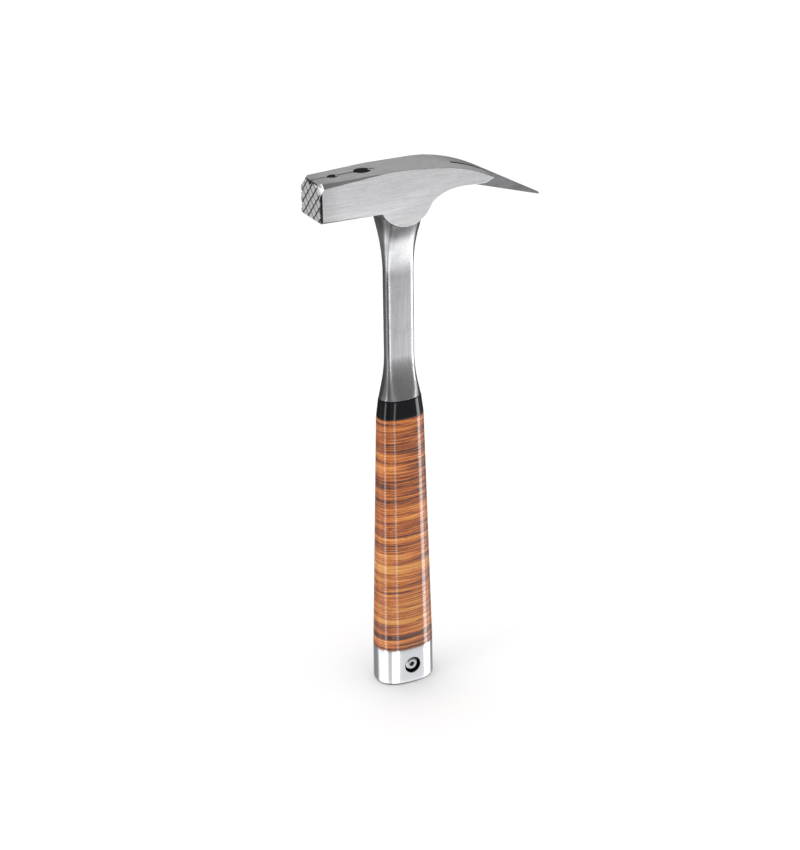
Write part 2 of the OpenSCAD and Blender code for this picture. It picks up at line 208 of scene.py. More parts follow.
for across, upright, power in ((STRIPS, STRIP_REACH, STRIP_POWER),
                               (PANEL_WIDTH, PANEL_HEIGHT, PANEL_POWER)):
    lit = add_math(tree, "MULTIPLY", add_ramp(tree, turn, across), add_ramp(tree, height, upright))
    glow = add_math(tree, "MULTIPLY_ADD", lit, power, glow)
seen = tree.nodes.new("ShaderNodeLightPath").outputs["Is Camera Ray"]
backdrop = add_node(tree, "ShaderNodeMix", values={3: 1.0}, links={0: seen, 2: glow},
                    data_type="FLOAT")
background = add_node(tree, "ShaderNodeBackground", values={"Color": (1, 1, 1, 1)},
                      links={"Strength": backdrop.outputs[0]})
add_node(tree, "ShaderNodeOutputWorld", links={0: background.outputs[0]})
bpy.context.scene.world = room
bpy.context.scene.view_settings.view_transform = "Standard"

# ---------------------------------------------------------------------------------------
# Forging. Head, shank and tang are one drop forging of tool steel. The cheeks are ground
# lengthways and the shank up and down, the claw's inner walls are given a darker steel, and
# the striking face is pressed with a checkered pattern that is blasted matt. Its colour
# carries painted shade in the face's grooves, the nail holder, the bevels, the poll, the
# neck and the shank, and painted highlights on the groove's lip and the corner facet.
HEAD_STEEL = (0.93, 0.935, 0.95)
SHANK_STEEL = (0.60, 0.603, 0.617)
WALL_STEEL = (0.30, 0.303, 0.312)
FACE_STEEL = (0.84, 0.845, 0.855)
PAINTED_HIGHLIGHT_STEEL = (0.98, 0.98, 0.985)
PAINTED_SHADE_BLACK = (0.018, 0.018, 0.02)
# Noise cells to the metre: along the ground lines, across them, and in the blotches
LINE_LENGTH = 60.0
LINE_FINENESS = 2600.0
BLOTCH_SIZE = 160.0
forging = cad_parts["hammer_forging"]
head_low, head_high = (np.array(corner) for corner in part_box("hammer_forging"))


def new_group(name, inputs, outputs):
    """Shader node group with named number inputs and named outputs."""
    group = bpy.data.node_groups.new(name, "ShaderNodeTree")
    for label, value in inputs.items():
        socket = group.interface.new_socket(label, in_out="INPUT", socket_type="NodeSocketFloat")
        socket.default_value = value
    for label in outputs:
        group.interface.new_socket(label, in_out="OUTPUT", socket_type="NodeSocketFloat")
    return group, group.nodes.new("NodeGroupInput").outputs, group.nodes.new("NodeGroupOutput").inputs


def new_material(name):
    """Material with an empty tree, its Principled shader and its object coordinates."""
    material = bpy.data.materials.new(name)
    material.use_nodes = True
    nodes = material.node_tree.nodes
    place = nodes.new("ShaderNodeTexCoord").outputs["Object"]
    return material, material.node_tree, nodes["Principled BSDF"], place


def add_noise(tree, place, scale, detail, **more):
    """Noise over a place socket: scale is in cells to the metre."""
    return add_node(tree, "ShaderNodeTexNoise", values={"Scale": scale, "Detail": detail, **more},
                    links={"Vector": place}).outputs[0]


def add_roughness(tree, shader, lowest, *terms):
    """Roughness of a shader: lowest, plus each term's noise or mask times its share."""
    roughness = lowest
    for source, share in terms:
        roughness = add_math(tree, "MULTIPLY_ADD", source, share, roughness)
    tree.links.new(roughness, shader.inputs["Roughness"])


def add_relief(tree, shader, height, strength, distance=0.0001):
    """Fine relief on a shader's surface from a height socket."""
    bump = add_node(tree, "ShaderNodeBump", values={"Strength": strength, "Distance": distance},
                    links={"Height": height})
    tree.links.new(bump.outputs[0], shader.inputs["Normal"])


def mix_colour(tree, mask, first, second):
    """Colour that goes from the first to the second as the mask goes from 0 to 1."""
    node = tree.nodes.new("ShaderNodeMix")
    node.data_type = "RGBA"
    tree.links.new(mask, node.inputs[0])
    for index, value in ((6, first), (7, second)):
        if isinstance(value, bpy.types.NodeSocket):
            tree.links.new(value, node.inputs[index])
        else:
            node.inputs[index].default_value = (*value, 1.0)
    return node.outputs[2]


# Ground lines: noise drawn out along X, or along Z where Upright is 1
ground_lines, inside, outside = new_group(
    "ground_lines", {"Upright": 0.0, "Length": LINE_LENGTH, "Fineness": LINE_FINENESS},
    ("Lines", "Blotches"))
place = ground_lines.nodes.new("ShaderNodeTexCoord").outputs["Object"]
fine, coarse = inside["Fineness"], inside["Length"]
lengthways = add_node(ground_lines, "ShaderNodeCombineXYZ", links={0: coarse, 1: fine, 2: fine})
upright = add_node(ground_lines, "ShaderNodeCombineXYZ", links={0: fine, 1: fine, 2: coarse})
stretch = add_node(ground_lines, "ShaderNodeMix", data_type="VECTOR",
                   links={0: inside["Upright"], 4: lengthways.outputs[0], 5: upright.outputs[0]})
drawn = add_node(ground_lines, "ShaderNodeVectorMath", operation="MULTIPLY",
                 links={0: place, 1: stretch.outputs[1]})
ground_lines.links.new(add_noise(ground_lines, drawn.outputs[0], 1.0, 4.0, Roughness=0.65),
                       outside["Lines"])
ground_lines.links.new(add_noise(ground_lines, place, BLOTCH_SIZE, 3.0), outside["Blotches"])

steel, tree, shader, place = new_material("ground_tool_steel")
spot = add_node(tree, "ShaderNodeSeparateXYZ", links={0: place}).outputs
facing = add_node(tree, "ShaderNodeSeparateXYZ",
                  links={0: tree.nodes.new("ShaderNodeNewGeometry").outputs["Normal"]}).outputs
off_middle = add_math(tree, "ABSOLUTE", spot["Y"])
facing_side = add_math(tree, "ABSOLUTE", facing["Y"])
behind_face = add_math(tree, "SUBTRACT", spot["X"], float(head_low[0]))


def mask_of(source, span):
    """Mask in the steel's tree that rises over a span, which is (start, full)."""
    return rise_between(tree, source, *span)


def all_of(*masks):
    """Product of masks in the steel's tree."""
    product = masks[0]
    for mask in masks[1:]:
        product = add_math(tree, "MULTIPLY", product, mask)
    return product


def less(mask, loss=1.0):
    """What a mask in the steel's tree leaves of 1: 1 - loss * mask."""
    return add_math(tree, "MULTIPLY_ADD", mask, -loss, 1.0)


# Head and shank: the head is all that lies outside the shank's sides or above its top
HEAD_SIDES = (0.0114, 0.0117)
HEAD_FOOT = (0.2970, 0.2974)
on_head = add_math(tree, "MAXIMUM", mask_of(off_middle, HEAD_SIDES), mask_of(spot["Z"], HEAD_FOOT))
on_shank = less(on_head)
finish = add_node(tree, "ShaderNodeGroup", node_tree=ground_lines, links={"Upright": on_shank},
                  values={"Length": LINE_LENGTH, "Fineness": LINE_FINENESS}).outputs

# The striking face: light lands, and grooves painted near black as shade, told apart by depth
FACE_DEPTH = (0.0010, 0.0008)
CHECK_DEPTH = (0.0002, 0.0005)
on_face = mask_of(behind_face, FACE_DEPTH)
in_check = all_of(on_face, mask_of(behind_face, CHECK_DEPTH))

# The claw: walls that face the prong between the slot and the spike's tip
WALL_START = (0.0305, 0.0312)
WALL_SIDES = (0.0108, 0.0100)
WALL_FACING = (0.80, 0.93)
on_wall = all_of(mask_of(spot["X"], WALL_START), mask_of(off_middle, WALL_SIDES),
                 mask_of(facing_side, WALL_FACING))

# Bevels: the long ones over the cheeks get painted shade, the upright ones beside the face
# are painted near black as shade, and the corner's facet gets a painted highlight
BEVEL_UP = (0.30, 0.45)
BEVEL_OUT = (0.35, 0.50)
BEVEL_FRONT = (-0.30, -0.50)
BESIDE_FACE = (0.0030, 0.0026)
CHEEK_END = (0.0018, 0.0015)
CHEEK_FACING = (0.90, 0.95)
leans_up = mask_of(facing["Z"], BEVEL_UP)
leans_out = mask_of(facing_side, BEVEL_OUT)
leans_front = mask_of(facing["X"], BEVEL_FRONT)
beside_face = mask_of(behind_face, BESIDE_FACE)
long_bevel = all_of(on_head, leans_up, leans_out, less(leans_front))
corner_facet = all_of(beside_face, leans_up, leans_out, leans_front)
upright_bevel = add_math(tree, "MAXIMUM", all_of(beside_face, leans_out, leans_front, less(leans_up)),
                         all_of(mask_of(behind_face, CHEEK_END), mask_of(facing_side, CHEEK_FACING)))

# The nail holder: depth below the top face, which falls towards the striking face, and the
# groove's far side. The holder is painted near black as shade, and the lip of the far side
# is painted white as a highlight
TOP_FALL = 0.0333
TOP_FALL_X = -0.016
BELOW_TOP = (0.00003, 0.00012)
GROOVE_SIDES = (0.0018, 0.0017)
GROOVE_FLOOR = (0.00195, 0.00190)
GROOVE_END = (-0.0160, -0.0165)
HOLE_SIDES = (0.0049, 0.0047)
HOLE_FLOOR = (0.0095, 0.0085)
HOLE_BACK = (-0.0115, -0.0125)
HOLE_FRONT = (-0.0440, -0.0435)
LIP_TOP = (0.00030, 0.00038)
LIP_FOOT = (0.0010, 0.0009)
LIP_FACING = (-0.2, -0.4)
fall = add_math(tree, "MAXIMUM",
                add_math(tree, "MULTIPLY_ADD", spot["X"], -TOP_FALL, TOP_FALL * TOP_FALL_X), 0.0)
depth = add_math(tree, "SUBTRACT",
                 add_math(tree, "SUBTRACT", float(head_high[2]), fall), spot["Z"])
below_top = mask_of(depth, BELOW_TOP)
in_groove = all_of(below_top, mask_of(off_middle, GROOVE_SIDES), mask_of(depth, GROOVE_FLOOR),
                   mask_of(spot["X"], GROOVE_END))
in_holes = all_of(below_top, mask_of(off_middle, HOLE_SIDES), mask_of(depth, HOLE_FLOOR),
                  mask_of(spot["X"], HOLE_BACK), mask_of(spot["X"], HOLE_FRONT))
in_holder = add_math(tree, "MAXIMUM", in_groove, in_holes)
groove_lip = all_of(mask_of(off_middle, GROOVE_SIDES), mask_of(depth, LIP_FOOT),
                    mask_of(depth, LIP_TOP), mask_of(facing["Y"], LIP_FACING))
painted_lip_highlight = all_of(in_holder, groove_lip)

# The neck's painted shade: a dark root round the cheek's lobe, a band below it left bright,
# a dim side to the claw
LOBE_HEIGHT = 0.3044
LOBE_RADIUS = 0.0163
ROOT_REACH = (LOBE_RADIUS + 0.0120, LOBE_RADIUS + 0.0015)
SIDE_RISE = (0.262, 0.276)
SIDE_START = (0.0045, 0.0085)
SIDE_END = (0.0300, 0.0270)
BAND_RISE = (0.250, 0.262)
above_lobe = add_math(tree, "SUBTRACT", spot["Z"], LOBE_HEIGHT)
from_lobe = add_math(tree, "SQRT", add_math(tree, "MULTIPLY_ADD", above_lobe, above_lobe,
                                            add_math(tree, "MULTIPLY", spot["X"], spot["X"])))
root = all_of(on_shank, mask_of(from_lobe, ROOT_REACH))
neck_side = all_of(on_shank, mask_of(spot["Z"], SIDE_RISE), mask_of(spot["X"], SIDE_START),
                   mask_of(spot["X"], SIDE_END))
neck_band = all_of(on_shank, mask_of(spot["Z"], BAND_RISE))

# Painted shade on the shank's edge that faces the poll: dimmest in its middle, less so on
# its very back
EDGE_FACING = (-0.22, -0.55)
EDGE_BACK = (-0.80, -0.93)
EDGE_BACK_LOSS = 0.75
EDGE_LOW = (0.214, 0.196)
EDGE_HIGH = (0.252, 0.264)
EDGE_LOSS = 0.82
EDGE_END_GAIN = 0.48
shank_edge = all_of(on_shank, mask_of(facing["X"], EDGE_FACING),
                    less(mask_of(facing["X"], EDGE_BACK), EDGE_BACK_LOSS))
edge_ends = add_math(tree, "MAXIMUM", mask_of(spot["Z"], EDGE_LOW), mask_of(spot["Z"], EDGE_HIGH))
edge_loss = add_math(tree, "MULTIPLY_ADD", edge_ends, -EDGE_END_GAIN, EDGE_LOSS)

# Wider painted shade: the shank's side to the claw, the poll towards the face, the shank
# towards it
CLAW_FACING = (0.29, 0.37)
POLL_END = (0.015, 0.0)
TOWARDS_POLL = (0.006, -0.009)
BLOTCH_SPAN = (0.45, 0.75)
LINE_SPAN = (0.30, 0.70)
LINE_CONTRAST = 0.24
LINE_DARKEST = 0.86
colour = mix_colour(tree, on_head, SHANK_STEEL, HEAD_STEEL)
for mask, paint in ((on_face, FACE_STEEL), (in_check, PAINTED_SHADE_BLACK), (on_wall, WALL_STEEL),
                    (in_holder, PAINTED_SHADE_BLACK), (painted_lip_highlight, PAINTED_HIGHLIGHT_STEEL),
                    (upright_bevel, PAINTED_SHADE_BLACK), (corner_facet, PAINTED_HIGHLIGHT_STEEL)):
    colour = mix_colour(tree, mask, colour, paint)
shade = add_math(tree, "MULTIPLY_ADD", mask_of(finish["Lines"], LINE_SPAN), LINE_CONTRAST,
                 LINE_DARKEST)
# Each loss below is painted shade, save the blotches, which are the steel's own uneven tone
for mask, loss in ((long_bevel, 0.48), (root, 0.72), (neck_side, 0.62), (neck_band, 0.14),
                   (all_of(on_shank, mask_of(facing["X"], CLAW_FACING)), 0.62),
                   (all_of(on_head, mask_of(behind_face, POLL_END)), 0.20),
                   (all_of(on_shank, mask_of(spot["X"], TOWARDS_POLL)), 0.14),
                   (mask_of(finish["Blotches"], BLOTCH_SPAN), 0.10),
                   (all_of(shank_edge, edge_loss), 1.0)):
    shade = all_of(shade, less(mask, loss))
toned = add_node(tree, "ShaderNodeVectorMath", links={0: colour, "Scale": shade}, operation="SCALE")
tree.links.new(toned.outputs[0], shader.inputs["Base Color"])

# Ground steel is smoother than the blasted face and the claw's walls, and the painted shade
# and the painted lip highlight aren't metal
SMOOTHEST = 0.22
BLOTCH_ROUGHNESS = 0.14
MATT_ROUGHNESS = 0.22
PAINTED_SHADE_DULLS = 0.8
FACE_DULLS = 0.6
LIP_DULLS = 0.95
LINE_RELIEF = 0.16
matt = add_math(tree, "MAXIMUM", on_face, on_wall)
add_roughness(tree, shader, SMOOTHEST, (finish["Blotches"], BLOTCH_ROUGHNESS), (matt, MATT_ROUGHNESS))
painted_shade_dark = add_math(tree, "MAXIMUM", in_check, all_of(in_holder, less(groove_lip)))
tree.links.new(all_of(less(painted_shade_dark, PAINTED_SHADE_DULLS), less(on_face, FACE_DULLS), less(painted_lip_highlight, LIP_DULLS)),
               shader.inputs["Metallic"])
add_relief(tree, shader, finish["Lines"], LINE_RELIEF)

# The CAD forging's own surface, with its hard edges broken as a grinding belt leaves them
MERGE = 1e-6
FLAT = math.radians(0.4)
EDGE_BREAK = 0.00018
EDGE_SEGMENTS = 3
SHARP = math.radians(24)
SHORTEST = 0.0008
FACE_ZONE = 0.0012
CREASE = math.radians(35)
surface = bmesh.new()
surface.from_mesh(forging.data)
surface.transform(forging.matrix_world)
bmesh.ops.remove_doubles(surface, verts=surface.verts, dist=MERGE)
bmesh.ops.dissolve_limit(surface, angle_limit=FLAT, verts=surface.verts, edges=surface.edges)
hard = [edge for edge in surface.edges
        if edge.is_manifold and edge.calc_face_angle() > SHARP and edge.calc_length() > SHORTEST
        and min(vertex.co.x for vertex in edge.verts) > float(head_low[0]) + FACE_ZONE]
bmesh.ops.bevel(surface, geom=hard, offset=EDGE_BREAK, segments=EDGE_SEGMENTS, profile=0.5,
                affect="EDGES", clamp_overlap=False)
bmesh.ops.recalc_face_normals(surface, faces=surface.faces)
steel_mesh = bpy.data.meshes.new("steel_forging")
surface.to_mesh(steel_mesh)
surface.free()
steel_mesh.materials.append(steel)
steel_mesh.shade_smooth()
steel_mesh.set_sharp_from_angle(angle=CREASE)
steel_forging = bpy.data.objects.new("steel_forging", steel_mesh)
bpy.context.scene.collection.objects.link(steel_forging)
# Big faces keep their own normals, so only the broken edges and the curves shade round
even = steel_forging.modifiers.new("even_shading", "WEIGHTED_NORMAL")
even.mode = "FACE_AREA"
even.weight = 100
even.keep_sharp = True
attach(steel_forging, "root")
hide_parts("hammer_forging")

# ---------------------------------------------------------------------------------------
# Nail magnet. A plain sintered rod pressed into its hole in the nail groove, where it holds
# the nail by the shank. It is unplated and dark, with a ground end.
MAGNET_DARK = (0.05, 0.05, 0.055)
MAGNET_LIGHT = (0.13, 0.13, 0.135)
MAGNET_GRAIN = 2200.0
MAGNET_ROUGHNESS = 0.4
MAGNET_GRAIN_ROUGHNESS = 0.2
MAGNET_METAL = 0.8
magnet_paint, tree, shader, place = new_material("sintered_magnet")
grain = add_noise(tree, place, MAGNET_GRAIN, 3.0)
tree.links.new(mix_colour(tree, grain, MAGNET_DARK, MAGNET_LIGHT), shader.inputs["Base Color"])
add_roughness(tree, shader, MAGNET_ROUGHNESS, (grain, MAGNET_GRAIN_ROUGHNESS))
shader.inputs["Metallic"].default_value = MAGNET_METAL
for slot_of_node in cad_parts["nail_magnet"].material_slots:
    slot_of_node.material = magnet_paint

# ---------------------------------------------------------------------------------------
# Collar. A turned ring of glossy black plastic that caps the leather stack under the flare
# of the shank. Its outside follows the grip's taper and its rims are rounded.
COLLAR_SEGMENTS = 128
COLLAR_TOP = (0.0129, 0.0084)
COLLAR_SQUARENESS = (2.3, 2.2)
COLLAR_RIM = 0.0004
COLLAR_RIM_STEPS = 5
COLLAR_BLACK = (0.006, 0.006, 0.008)
COLLAR_DUST = (0.018, 0.018, 0.020)
DUST_SIZE = 5200.0
DUST_SPAN = (0.55, 0.8)
RIPPLE_SIZE = 420.0
RIPPLE_ROUGHNESS = 0.10
RIPPLE_RELIEF = 0.10
COLLAR_ROUGHNESS = 0.04
COLLAR_GLOSS = 0.3
# Hole that the tang passes through: half sizes, and how near it is to a rectangle
TANG_HALF = (0.00745, 0.00285)
TANG_SQUARENESS = 16.0
PIECE_CREASE = math.radians(50)
collar_low, collar_high = (np.array(corner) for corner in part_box("grip_collar"))


def superellipse(half_x, half_y, squareness, count):
    """Closed outline |x/a|^n + |y/b|^n = 1 as (count, 2) points, where n is the squareness:
    x = a sign(cos t)|cos t|^(2/n), y = b sign(sin t)|sin t|^(2/n), t evenly round the circle."""
    t = np.linspace(0.0, 2 * np.pi, count, endpoint=False)
    c, s = np.cos(t), np.sin(t)
    return np.stack((half_x * np.sign(c) * np.abs(c) ** (2 / squareness),
                     half_y * np.sign(s) * np.abs(s) ** (2 / squareness)), axis=1)


def collar_outline(height):
    """Collar's outline at a height: half sizes and squareness go evenly from foot to top."""
    t = (height - collar_low[2]) / (collar_high[2] - collar_low[2])
    half = collar_high[:2] + (np.array(COLLAR_TOP) - collar_high[:2]) * t
    squareness = COLLAR_SQUARENESS[0] + (COLLAR_SQUARENESS[1] - COLLAR_SQUARENESS[0]) * t
    return superellipse(*half, squareness, COLLAR_SEGMENTS)


def quads_between(ring_count, point_count, closed_loop):
    """Faces of a grid of rings, each a closed outline: ring j joins ring j + 1, and with
    closed_loop the last ring joins the first, which makes a tube bent into a ring."""
    j = np.arange(ring_count if closed_loop else ring_count - 1)[:, None]
    i = np.arange(point_count)[None, :]
    up, along = (j + 1) % ring_count, (i + 1) % point_count
    corners = (j * point_count + i, j * point_count + along,
               up * point_count + along, up * point_count + i)
    return np.stack(np.broadcast_arrays(*corners), axis=-1).reshape(-1, 4)


def rounded_wall(low, high, rim, steps):
    """Side of a ring in (inset, height) pairs, from its lower rim to its upper: a quarter
    circle of radius rim, a straight wall, and a quarter circle again. Two more pairs, three
    rims in from each end, keep the wall's shading straight."""
    turn = np.linspace(0.0, np.pi / 2, steps)
    lower = np.stack((rim * (1 - np.sin(turn)), low + rim * (1 - np.cos(turn))), axis=1)
    upper = np.stack((rim * (1 - np.cos(turn)), high - rim * (1 - np.sin(turn))), axis=1)
    return np.concatenate((lower, [(0.0, low + 3 * rim), (0.0, high - 3 * rim)], upper))


def threaded_ring(outline_at, wall, hole_half, segments):
    """Ring threaded on the tang: its outer wall is outline_at(height) drawn in by the wall's
    inset, and its hole is a near-rectangle. Rings of points run up the outside, then down
    the hole, and the last joins the first."""
    hole = superellipse(*hole_half, TANG_SQUARENESS, segments)
    rings = []
    for inset, height in wall:
        outline = outline_at(height)
        size = np.abs(outline).max(axis=0)
        rings.append(np.column_stack((outline * (1 - inset / size), np.full(segments, height))))
    for height in (wall[-1, 1], wall[0, 1]):
        rings.append(np.column_stack((hole, np.full(segments, height))))
    return np.concatenate(rings), quads_between(len(rings), segments, closed_loop=True)


def new_piece(name, points, faces, material, node_names, tones=None):
    """Object at the origin from arrays of points and faces. It rides on the hammer's only
    body and stands for the CAD nodes of its name. Tones are one number for each point."""
    mesh = bpy.data.meshes.new(name)
    mesh.from_pydata(points.tolist(), [], [list(face) for face in faces])
    if tones is not None:
        mesh.attributes.new("tone", "FLOAT", "POINT").data.foreach_set("value", tones)
    mesh.materials.append(material)
    mesh.shade_smooth()
    mesh.set_sharp_from_angle(angle=PIECE_CREASE)
    mesh.validate()
    piece = bpy.data.objects.new(name, mesh)
    bpy.context.scene.collection.objects.link(piece)
    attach(piece, "root")
    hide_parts(*node_names)
    return piece


black_gloss, tree, shader, place = new_material("black_gloss_plastic")
ripple = add_noise(tree, place, RIPPLE_SIZE, 2.0)
dusty = rise_between(tree, add_noise(tree, place, DUST_SIZE, 2.0), *DUST_SPAN)
tree.links.new(mix_colour(tree, dusty, COLLAR_BLACK, COLLAR_DUST), shader.inputs["Base Color"])
add_roughness(tree, shader, COLLAR_ROUGHNESS, (ripple, RIPPLE_ROUGHNESS))
add_relief(tree, shader, ripple, RIPPLE_RELIEF)
shader.inputs["Specular IOR Level"].default_value = COLLAR_GLOSS
wall = rounded_wall(collar_low[2], collar_high[2], COLLAR_RIM, COLLAR_RIM_STEPS)
points, faces = threaded_ring(collar_outline, wall, TANG_HALF, COLLAR_SEGMENTS)
new_piece("black_collar", points, faces, black_gloss, ["grip_collar"])

# ---------------------------------------------------------------------------------------
# Leather washers. They are punched from vegetable-tanned leather with a slot for the tang,
# threaded on and pressed tight, and then the stack is ground to one taper and lacquered. No
# two have the same tone, and their cut edges show thin level layers.
WASHER_SEGMENTS = 96
WASHER_SQUARENESS = 2.3
WASHER_RIM = 0.00006
WASHER_STEPS = 4
WASHER_UNEVEN = 0.00001
WASHER_TONE = (0.5, 0.12)
WASHER_SEED = 42
SEAM = 0.00001
# Each noise of the grain: scale across, scale upright, detail and distortion
GRAIN = {"layers": (22.0, 520.0, 3.0, 0.35), "plies": (34.0, 1500.0, 2.0, 0.25),
         "fibres": (130.0, 3600.0, 4.0, 0.0), "hairs": (26.0, 900.0, 1.0, 0.5),
         "drift": (8.0, 45.0, 1.0, 0.0)}
PORE_SIZE = 1500.0
# How far each noise moves the stain, and the hairlines: middle, span and change of stain
SHARES = {"layers": 1.0, "plies": 1.25, "fibres": 0.45, "pores": 0.12, "drift": 0.5}
HAIRLINES = ((0.47, (0.016, 0.004), -0.34), (0.585, (0.010, 0.002), 0.30))
# The washers are darker towards the foot
FOOT_RISE = (0.0300, 0.0240)
FOOT_DARKENING = -0.26
STAINS = [(0.08, (0.035, 0.011, 0.005)), (0.28, (0.18, 0.038, 0.009)),
          (0.46, (0.45, 0.108, 0.016)), (0.66, (0.70, 0.205, 0.028)),
          (0.95, (0.88, 0.42, 0.11))]
OCHRE = (0.88, 0.92, 0.85)
OCHRE_FALL = (0.115, 0.050)
OCHRE_DRIFT = (0.35, 0.60)
LEATHER_ROUGHNESS = 0.35
FIBRE_ROUGHNESS = 0.25
FIBRE_RELIEF = 0.25
LEATHER_GLOSS = 0.1
LACQUER = 0.85
LACQUER_ROUGHNESS = 0.07
washer_names = sorted(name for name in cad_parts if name.startswith("leather_washer_"))
cap_high = np.array(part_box("butt_cap")[1])


def grip_outline(height, swell=0.0):
    """Grip's outline at a height: its half sizes go evenly from the cap's to the collar's,
    and swell is added to both."""
    t = (height - cap_high[2]) / (collar_low[2] - cap_high[2])
    half = cap_high[:2] + (collar_high[:2] - cap_high[:2]) * t + swell
    return superellipse(*half, WASHER_SQUARENESS, WASHER_SEGMENTS)


leather, tree, shader, place = new_material("lacquered_stacked_leather")


def level_noise(across, upright, detail, distortion):
    """Noise drawn out level in the leather's tree: its scale is across along X and Y, and
    upright along Z."""
    scaled = add_node(tree, "ShaderNodeVectorMath", values={1: (across, across, upright)},
                      links={0: place}, operation="MULTIPLY").outputs[0]
    return add_noise(tree, scaled, 1.0, detail, Roughness=0.6, Distortion=distortion)


grain = {name: level_noise(*numbers) for name, numbers in GRAIN.items()}
grain["pores"] = add_noise(tree, place, PORE_SIZE, 2.0)
stain = add_node(tree, "ShaderNodeAttribute", attribute_name="tone").outputs["Fac"]
for name, share in SHARES.items():
    stain = add_math(tree, "MULTIPLY_ADD", add_math(tree, "SUBTRACT", grain[name], 0.5), share, stain)
for middle, span, change in HAIRLINES:
    off_line = add_math(tree, "ABSOLUTE", add_math(tree, "SUBTRACT", grain["hairs"], middle))
    stain = add_math(tree, "MULTIPLY_ADD", rise_between(tree, off_line, *span), change, stain)
foot = add_node(tree, "ShaderNodeSeparateXYZ", links={0: place}).outputs["Z"]
stain = add_math(tree, "MULTIPLY_ADD", rise_between(tree, foot, *FOOT_RISE), FOOT_DARKENING, stain)
colour = add_ramp(tree, stain, STAINS)
ochre = add_node(tree, "ShaderNodeVectorMath", values={1: OCHRE}, links={0: colour},
                 operation="MULTIPLY").outputs[0]
low_ochre = add_math(tree, "MULTIPLY", rise_between(tree, foot, *OCHRE_FALL),
                     rise_between(tree, grain["drift"], *OCHRE_DRIFT))
tree.links.new(mix_colour(tree, low_ochre, colour, ochre), shader.inputs["Base Color"])
add_roughness(tree, shader, LEATHER_ROUGHNESS, (grain["fibres"], FIBRE_ROUGHNESS))
add_relief(tree, shader, grain["fibres"], FIBRE_RELIEF)
shader.inputs["Specular IOR Level"].default_value = LEATHER_GLOSS
shader.inputs["Coat Weight"].default_value = LACQUER
shader.inputs["Coat Roughness"].default_value = LACQUER_ROUGHNESS
chance = np.random.default_rng(WASHER_SEED)
for name in washer_names:
    low, high = (float(corner[2]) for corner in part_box(name))
    washer_tone = chance.normal(*WASHER_TONE)
    swell = -WASHER_UNEVEN * chance.random()
    wall = rounded_wall(low + SEAM, high - SEAM, WASHER_RIM, WASHER_STEPS)
    points, faces = threaded_ring(lambda height: grip_outline(height, swell), wall, TANG_HALF,
                                  WASHER_SEGMENTS)
    tones = np.full(len(points), washer_tone)
    new_piece(name.replace("leather_", ""), points, faces, leather, [name], tones)

# ---------------------------------------------------------------------------------------
# Butt cap. A polished aluminium casting that closes the stack. The tang ends in its pocket,
# and the cross screw sits in a counterbore in each flat. Its foot is rounded.
CAP_SEGMENTS = 256
CAP_SQUARENESS = (2.4, 2.3)
CAP_FOOT = 0.0018
CAP_BROW = 0.0003
CAP_CURVE_STEPS = 10
CAP_WALL_STEPS = 8
CAP_FLOOR = 0.0035
CAP_DULL = (0.47, 0.475, 0.49)
CAP_BRIGHT = (0.55, 0.555, 0.57)
# The flats are painted darker, as shade
CAP_FLAT_SHADE = (0.36, 0.365, 0.378)
# The counterbores' inside is painted near black, as shade
BORE_PAINTED_SHADE = (0.05, 0.05, 0.055)
FLAT_FACING = (0.93, 0.995)
BORE_SPAN = (0.00525, 0.00515)
BORE_SIDES = (0.0127, 0.0125)
POLISH_GRAIN = 900.0
POLISH_CLOUD = 90.0
POLISH_ROUGHNESS = 0.04
GRAIN_ROUGHNESS = 0.05
CLOUD_ROUGHNESS = 0.06
POLISH_RELIEF = (0.06, 0.0002)
SCREW_HEIGHT = 0.0123
BORE_RADIUS = 0.0051
BORE_DEPTH = 0.0042
BORE_EDGE = 0.0003
BORE_SEGMENTS = 96
CROSS_HOLE = 0.00355
HOLE_SEGMENTS = 64
POCKET_SEGMENTS = 64
CAP_CREASE = math.radians(30)
# How far a cutter reaches past the surface that it opens
PAST = 0.001


def closed_tube(rings):
    """Points and faces of a tube through rings of points, which are equally long arrays. Its
    first and last rings are closed by flat faces."""
    count = len(rings[0])
    last = (len(rings) - 1) * count
    faces = [tuple(face) for face in quads_between(len(rings), count, closed_loop=False)]
    faces += [tuple(range(count - 1, -1, -1)), tuple(range(last, last + count))]
    return np.concatenate(rings), faces


def lathe(profile, segments):
    """Surface of revolution about Z: each (radius, height) of the profile becomes a circle,
    and the first and last circles are closed by flat discs."""
    t = np.linspace(0.0, 2 * np.pi, segments, endpoint=False)
    return closed_tube([np.column_stack((radius * np.cos(t), radius * np.sin(t),
                                         np.full(segments, height)))
                        for radius, height in profile])


def cutter(name, points, faces):
    """Object that another piece is cut with, and that is removed afterwards."""
    mesh = bpy.data.meshes.new(name)
    mesh.from_pydata(points.tolist(), [], [list(face) for face in faces])
    return bpy.data.objects.new(name, mesh)


def cut_away(piece, cutters):
    """Takes each cutter's volume out of the piece, and applies the cuts to its mesh."""
    for tool in cutters:
        bpy.context.scene.collection.objects.link(tool)
        cut = piece.modifiers.new(tool.name, "BOOLEAN")
        cut.operation = "DIFFERENCE"
        cut.solver = "EXACT"
        cut.object = tool
    cut_mesh = bpy.data.meshes.new_from_object(
        piece.evaluated_get(bpy.context.evaluated_depsgraph_get()))
    piece.modifiers.clear()
    piece.data = cut_mesh
    for tool in cutters:
        bpy.data.objects.remove(tool, do_unlink=True)


def towards_y(points, side):
    """Points of a shape made along +Z, turned so that its +Z points along side times Y and
    its base is at the cross screw's height: (x, y, z) goes to (x, side z, height - side y)."""
    return np.stack((points[:, 0], side * points[:, 2], SCREW_HEIGHT - side * points[:, 1]), axis=1)


